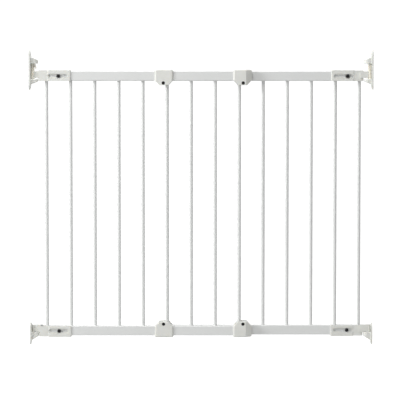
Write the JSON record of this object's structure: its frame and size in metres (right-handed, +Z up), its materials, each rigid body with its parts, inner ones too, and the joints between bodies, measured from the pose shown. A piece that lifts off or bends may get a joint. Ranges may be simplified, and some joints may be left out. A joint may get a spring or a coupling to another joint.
{
  "type": "safety baby gate",
  "caption": "Extending barred doorway gate of two telescoping panels, hinged on a pin at one wall and latched by a sprung bolt at the other.",
  "frame": {"origin": "on the floor, midway between the two walls and midway through the gate's depth", "axes": "+X across the doorway towards the hinge wall, -Y towards the room the gate opens into, +Z up"},
  "size_m": [0.936, 0.047, 0.804],
  "materials": {
    "white_steel": "satin powder coat",
    "white_plastic": "moulded, fine grain",
    "cream_plastic": "moulded, smooth",
    "black_screw": "black oxide",
    "bare_steel": "zinc plated"
  },
  "bodies": {
    "hinge_wall": {"hinge_bottom_peg": "bare_steel", "hinge_bottom_wall_bracket": "white_plastic", "hinge_pin": "bare_steel", "hinge_top_wall_bracket": "white_plastic"},
    "hinge_arms": {"hinge_barrel": "cream_plastic", "right_bottom_arm": "white_plastic", "right_top_arm": "white_plastic"},
    "right_panel": {"right_bar_1": "white_steel", "right_bar_2": "white_steel", "right_bar_3": "white_steel", "right_bar_4": "white_steel", "right_bar_5": "white_steel", "right_bar_6": "white_steel", "right_bar_7": "white_steel", "right_bar_8": "white_steel", "right_bar_9": "white_steel", "right_bottom_rail": "white_steel", "right_bottom_slide_bracket": "white_plastic", "right_clamp_jaws": "white_plastic", "right_clamp_screws": "black_screw", "right_rail_plugs": "white_plastic", "right_rivet_nuts": "bare_steel", "right_slot_screws": "black_screw", "right_top_rail": "white_steel", "right_top_slide_bracket": "white_plastic", "right_washers": "bare_steel"},
    "left_panel": {"left_bar_1": "white_steel", "left_bar_2": "white_steel", "left_bar_3": "white_steel", "left_bar_4": "white_steel", "left_bar_5": "white_steel", "left_bar_6": "white_steel", "left_bar_7": "white_steel", "left_bar_8": "white_steel", "left_bar_9": "white_steel", "left_bottom_rail": "white_steel", "left_bottom_slide_bracket": "white_plastic", "left_clamp_jaws": "white_plastic", "left_clamp_screws": "black_screw", "left_rail_plugs": "white_plastic", "left_rivet_nuts": "bare_steel", "left_slot_screws": "black_screw", "left_top_rail": "white_steel", "left_top_slide_bracket": "white_plastic", "left_washers": "bare_steel"},
    "latch_arms": {"latch_barrel": "cream_plastic", "latch_spring": "bare_steel", "left_bottom_arm": "white_plastic", "left_top_arm": "white_plastic"},
    "latch_bolt": {"latch_bolt": "bare_steel", "release_trigger": "cream_plastic"},
    "latch_wall": {"latch_bottom_peg": "bare_steel", "latch_bottom_wall_bracket": "white_plastic", "latch_top_wall_bracket": "white_plastic"}
  },
  "joints": [
    {"name": "gate_swing", "type": "hinge", "parent": "hinge_wall", "child": "hinge_arms", "pos_m": [0.458, 0, 0.4], "axis": [0, 0, 1], "range_deg": [0, 85]},
    {"name": "gate_shift", "type": "slide", "parent": "hinge_arms", "child": "right_panel", "axis": [-1, 0, 0], "range_m": [0, 0.012]},
    {"name": "panel_extension", "type": "slide", "parent": "right_panel", "child": "left_panel", "axis": [-1, 0, 0], "range_m": [-0.2, 0.15]},
    {"name": "latch_arm_slide", "type": "slide", "parent": "left_panel", "child": "latch_arms", "axis": [1, 0, 0], "range_m": [0, 0.012]},
    {"name": "bolt_drop", "type": "slide", "parent": "latch_arms", "child": "latch_bolt", "axis": [0, 0, -1], "range_m": [0, 0.006], "stiffness_N_per_m": 150, "springref_m": 0.01, "deforming": ["latch_spring"]},
    {"name": "doorway_width", "type": "slide", "parent": "hinge_wall", "child": "latch_wall", "axis": [-1, 0, 0], "range_m": [-0.2, 0.15]}
  ],
  "couplings": [
    {"joint": "panel_extension", "follows": "doorway_width", "ratio": 1},
    {"joint": "latch_arm_slide", "follows": "gate_shift", "ratio": 1}
  ]
}
